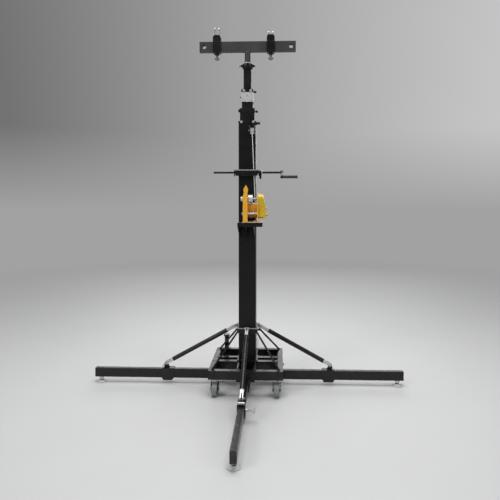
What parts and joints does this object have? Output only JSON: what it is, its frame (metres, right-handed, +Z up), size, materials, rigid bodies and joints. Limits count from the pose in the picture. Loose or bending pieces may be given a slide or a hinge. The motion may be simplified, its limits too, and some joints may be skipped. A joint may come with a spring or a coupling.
{
  "type": "crank lighting stand",
  "caption": "Square telescopic mast raised by a hand winch, on a wheeled frame with outrigger legs and braces, topped by a cross bar with clamps.",
  "frame": {"origin": "on the floor under the mast axis", "axes": "+Z up the mast, +X along the head bar to the crank grip's side, -Y towards the winch side"},
  "size_m": [1.828, 1.828, 2.101],
  "materials": {
    "black_paint": "satin powder coat",
    "mast_paint": "satin powder coat",
    "leg_paint": "satin powder coat",
    "head_paint": "worn satin paint",
    "winch_paint": "gloss paint",
    "cover_paint": "satin paint",
    "zinc_plate": "zinc plated",
    "caster_zinc": "zinc plated",
    "bare_steel": "machined",
    "rope_wire": "stranded wire",
    "caster_tyre": "matt",
    "grip_plastic": "moulded"
  },
  "bodies": {
    "base": {"base_frame": "black_paint", "mast_outer": "mast_paint", "mast_collar": "mast_paint", "mast_head": "mast_paint", "caster_plates": "zinc_plate", "fixing_bolts": "zinc_plate", "spirit_level": "black_paint", "winch_shelf": "black_paint", "winch_frame": "winch_paint", "crank_holder": "black_paint", "sheave_cover": "cover_paint", "wire_rope": "rope_wire", "rope_inner": "rope_wire"},
    "mast_2": {"mast_2": "mast_paint"},
    "mast_3": {"mast_3": "mast_paint", "mast_3_head": "zinc_plate"},
    "mast_4": {"mast_4": "mast_paint", "spigot_collar": "black_paint"},
    "winch_drum": {"winch_drum": "bare_steel"},
    "drive_shaft": {"drive_shaft": "bare_steel"},
    "sheave": {"sheave": "bare_steel"},
    "winch_pawl": {"winch_pawl": "bare_steel"},
    "crank": {"crank_handle": "black_paint"},
    "crank_grip": {"crank_grip": "grip_plastic"},
    "head": {"head_bar": "head_paint"},
    "clamp_left": {"clamp_left": "black_paint"},
    "clamp_screw_left": {"clamp_screw_left": "zinc_plate"},
    "clamp_right": {"clamp_right": "black_paint"},
    "clamp_screw_right": {"clamp_screw_right": "zinc_plate"},
    "leg_left": {"leg_left": "leg_paint"},
    "foot_left": {"foot_left": "zinc_plate"},
    "brace_left": {"brace_left": "black_paint"},
    "collar_left": {"collar_left": "black_paint"},
    "screw_left": {"screw_left": "zinc_plate"},
    "leg_right": {"leg_right": "leg_paint"},
    "foot_right": {"foot_right": "zinc_plate"},
    "brace_right": {"brace_right": "black_paint"},
    "collar_right": {"collar_right": "black_paint"},
    "screw_right": {"screw_right": "zinc_plate"},
    "leg_front": {"leg_front": "leg_paint"},
    "foot_front": {"foot_front": "zinc_plate"},
    "brace_front": {"brace_front": "black_paint"},
    "collar_front": {"collar_front": "black_paint"},
    "screw_front": {"screw_front": "zinc_plate"},
    "leg_rear": {"leg_rear": "leg_paint"},
    "foot_rear": {"foot_rear": "zinc_plate"},
    "brace_rear": {"brace_rear": "black_paint"},
    "collar_rear": {"collar_rear": "black_paint"},
    "screw_rear": {"screw_rear": "zinc_plate"},
    "fork_fl": {"fork_fl": "caster_zinc"},
    "wheel_fl": {"wheel_fl": "caster_tyre"},
    "fork_fr": {"fork_fr": "caster_zinc"},
    "wheel_fr": {"wheel_fr": "caster_tyre"},
    "fork_rl": {"fork_rl": "caster_zinc"},
    "wheel_rl": {"wheel_rl": "caster_tyre"},
    "fork_rr": {"fork_rr": "caster_zinc"},
    "wheel_rr": {"wheel_rr": "caster_tyre"},
    "lock_knob_1": {"lock_knob_1": "black_paint"},
    "lock_knob_2": {"lock_knob_2": "black_paint"},
    "lock_knob_3": {"lock_knob_3": "black_paint"}
  },
  "joints": [
    {"name": "mast_2_slide", "type": "slide", "parent": "base", "child": "mast_2", "axis": [0, 0, 1], "range_m": [0, 1.15], "deforming": ["rope_inner"]},
    {"name": "mast_3_slide", "type": "slide", "parent": "mast_2", "child": "mast_3", "axis": [0, 0, 1], "range_m": [0, 1.15]},
    {"name": "mast_4_slide", "type": "slide", "parent": "mast_3", "child": "mast_4", "axis": [0, 0, 1], "range_m": [0, 1.15]},
    {"name": "winch_drum_spin", "type": "hinge", "parent": "base", "child": "winch_drum", "pos_m": [0.027, -0.115, 1.041], "axis": [1, 0, 0], "continuous": true},
    {"name": "drive_shaft_spin", "type": "hinge", "parent": "base", "child": "drive_shaft", "pos_m": [0.027, -0.15, 1.0958], "axis": [1, 0, 0], "continuous": true},
    {"name": "sheave_spin", "type": "hinge", "parent": "base", "child": "sheave", "pos_m": [0.031, -0.06475, 1.49], "axis": [1, 0, 0], "continuous": true},
    {"name": "winch_pawl_pivot", "type": "hinge", "parent": "base", "child": "winch_pawl", "pos_m": [0.1, -0.165, 1.008], "axis": [1, 0, 0], "range_deg": [0, 25], "stiffness_Nm_per_rad": 0.05, "springref_deg": -17.19},
    {"name": "crank_pull", "type": "slide", "parent": "base", "child": "crank", "axis": [1, 0, 0], "range_m": [0, 0.3]},
    {"name": "crank_grip_spin", "type": "hinge", "parent": "crank", "child": "crank_grip", "pos_m": [0.24, -0.235, 1.215], "axis": [1, 0, 0], "continuous": true},
    {"name": "head_swivel", "type": "hinge", "parent": "mast_4", "child": "head", "pos_m": [0, 0, 1.9], "axis": [0, 0, 1], "continuous": true},
    {"name": "clamp_left_slide", "type": "slide", "parent": "head", "child": "clamp_left", "axis": [1, 0, 0], "range_m": [-0.035, 0.12]},
    {"name": "clamp_left_screw_turn", "type": "hinge", "parent": "clamp_left", "child": "clamp_screw_left", "pos_m": [-0.18, 0, 1.94], "axis": [0, 0, 1], "continuous": true},
    {"name": "clamp_right_slide", "type": "slide", "parent": "head", "child": "clamp_right", "axis": [1, 0, 0], "range_m": [-0.09, 0.08]},
    {"name": "clamp_right_screw_turn", "type": "hinge", "parent": "clamp_right", "child": "clamp_screw_right", "pos_m": [0.136, 0, 1.94], "axis": [0, 0, 1], "continuous": true},
    {"name": "leg_left_slide", "type": "slide", "parent": "base", "child": "leg_left", "axis": [-1, 0, 0], "range_m": [0, 0.16]},
    {"name": "foot_left_jack", "type": "slide", "parent": "leg_left", "child": "foot_left", "axis": [0, 0, -1], "range_m": [0, 0.03]},
    {"name": "brace_left_lift", "type": "hinge", "parent": "base", "child": "brace_left", "pos_m": [-0.072, 0, 0.346], "axis": [0, 1, 0], "range_deg": [0, 75]},
    {"name": "collar_left_tilt", "type": "hinge", "parent": "brace_left", "child": "collar_left", "pos_m": [-0.488, 0, 0.1173], "axis": [0, 1, 0], "range_deg": [-37.5, 0]},
    {"name": "collar_left_screw_turn", "type": "hinge", "parent": "collar_left", "child": "screw_left", "pos_m": [-0.49, 0.04, 0.06], "axis": [0, 1, 0], "continuous": true},
    {"name": "leg_right_slide", "type": "slide", "parent": "base", "child": "leg_right", "axis": [1, 0, 0], "range_m": [0, 0.16]},
    {"name": "foot_right_jack", "type": "slide", "parent": "leg_right", "child": "foot_right", "axis": [0, 0, -1], "range_m": [0, 0.03]},
    {"name": "brace_right_lift", "type": "hinge", "parent": "base", "child": "brace_right", "pos_m": [0.072, 0, 0.346], "axis": [0, -1, 0], "range_deg": [0, 75]},
    {"name": "collar_right_tilt", "type": "hinge", "parent": "brace_right", "child": "collar_right", "pos_m": [0.488, 0, 0.1173], "axis": [0, -1, 0], "range_deg": [-37.5, 0]},
    {"name": "collar_right_screw_turn", "type": "hinge", "parent": "collar_right", "child": "screw_right", "pos_m": [0.49, 0.04, 0.06], "axis": [0, 1, 0], "continuous": true},
    {"name": "leg_front_slide", "type": "slide", "parent": "base", "child": "leg_front", "axis": [0, -1, 0], "range_m": [0, 0.16]},
    {"name": "foot_front_jack", "type": "slide", "parent": "leg_front", "child": "foot_front", "axis": [0, 0, -1], "range_m": [0, 0.03]},
    {"name": "brace_front_lift", "type": "hinge", "parent": "base", "child": "brace_front", "pos_m": [0, -0.072, 0.346], "axis": [-1, 0, 0], "range_deg": [0, 75]},
    {"name": "collar_front_tilt", "type": "hinge", "parent": "brace_front", "child": "collar_front", "pos_m": [0, -0.488, 0.1173], "axis": [-1, 0, 0], "range_deg": [-37.5, 0]},
    {"name": "collar_front_screw_turn", "type": "hinge", "parent": "collar_front", "child": "screw_front", "pos_m": [0.04, -0.49, 0.06], "axis": [1, 0, 0], "continuous": true},
    {"name": "leg_rear_slide", "type": "slide", "parent": "base", "child": "leg_rear", "axis": [0, 1, 0], "range_m": [0, 0.16]},
    {"name": "foot_rear_jack", "type": "slide", "parent": "leg_rear", "child": "foot_rear", "axis": [0, 0, -1], "range_m": [0, 0.03]},
    {"name": "brace_rear_lift", "type": "hinge", "parent": "base", "child": "brace_rear", "pos_m": [0, 0.072, 0.346], "axis": [1, 0, 0], "range_deg": [0, 75]},
    {"name": "collar_rear_tilt", "type": "hinge", "parent": "brace_rear", "child": "collar_rear", "pos_m": [0, 0.488, 0.1173], "axis": [1, 0, 0], "range_deg": [-37.5, 0]},
    {"name": "collar_rear_screw_turn", "type": "hinge", "parent": "collar_rear", "child": "screw_rear", "pos_m": [-0.04, 0.49, 0.06], "axis": [-1, 0, 0], "continuous": true},
    {"name": "caster_fl_swivel", "type": "hinge", "parent": "base", "child": "fork_fl", "pos_m": [-0.172, -0.166, 0.09], "axis": [0, 0, 1], "continuous": true},
    {"name": "wheel_fl_roll", "type": "hinge", "parent": "fork_fl", "child": "wheel_fl", "pos_m": [-0.172, -0.186, 0.0375], "axis": [1, 0, 0], "continuous": true},
    {"name": "caster_fr_swivel", "type": "hinge", "parent": "base", "child": "fork_fr", "pos_m": [0.172, -0.166, 0.09], "axis": [0, 0, 1], "continuous": true},
    {"name": "wheel_fr_roll", "type": "hinge", "parent": "fork_fr", "child": "wheel_fr", "pos_m": [0.172, -0.186, 0.0375], "axis": [1, 0, 0], "continuous": true},
    {"name": "caster_rl_swivel", "type": "hinge", "parent": "base", "child": "fork_rl", "pos_m": [-0.172, 0.166, 0.09], "axis": [0, 0, 1], "continuous": true},
    {"name": "wheel_rl_roll", "type": "hinge", "parent": "fork_rl", "child": "wheel_rl", "pos_m": [-0.172, 0.186, 0.0375], "axis": [1, 0, 0], "continuous": true},
    {"name": "caster_rr_swivel", "type": "hinge", "parent": "base", "child": "fork_rr", "pos_m": [0.172, 0.166, 0.09], "axis": [0, 0, 1], "continuous": true},
    {"name": "wheel_rr_roll", "type": "hinge", "parent": "fork_rr", "child": "wheel_rr", "pos_m": [0.172, 0.186, 0.0375], "axis": [1, 0, 0], "continuous": true},
    {"name": "lock_knob_1_pull", "type": "slide", "parent": "base", "child": "lock_knob_1", "axis": [1, 0, 0], "range_m": [0, 0.006], "stiffness_N_per_m": 400, "springref_m": -0.004},
    {"name": "lock_knob_2_pull", "type": "slide", "parent": "mast_2", "child": "lock_knob_2", "axis": [1, 0, 0], "range_m": [0, 0.006], "stiffness_N_per_m": 400, "springref_m": -0.004},
    {"name": "lock_knob_3_pull", "type": "slide", "parent": "mast_3", "child": "lock_knob_3", "axis": [1, 0, 0], "range_m": [0, 0.006], "stiffness_N_per_m": 400, "springref_m": -0.004}
  ],
  "couplings": [
    {"joint": "mast_3_slide", "follows": "mast_2_slide", "ratio": 1},
    {"joint": "mast_4_slide", "follows": "mast_2_slide", "ratio": 1},
    {"joint": "winch_drum_spin", "follows": "mast_2_slide", "rad_per_m": -27.78},
    {"joint": "drive_shaft_spin", "follows": "mast_2_slide", "rad_per_m": 90.92},
    {"joint": "sheave_spin", "follows": "mast_2_slide", "rad_per_m": 50},
    {"joint": "collar_left_tilt", "follows": "brace_left_lift", "ratio": -0.5},
    {"joint": "collar_right_tilt", "follows": "brace_right_lift", "ratio": -0.5},
    {"joint": "collar_front_tilt", "follows": "brace_front_lift", "ratio": -0.5},
    {"joint": "collar_rear_tilt", "follows": "brace_rear_lift", "ratio": -0.5}
  ]
}
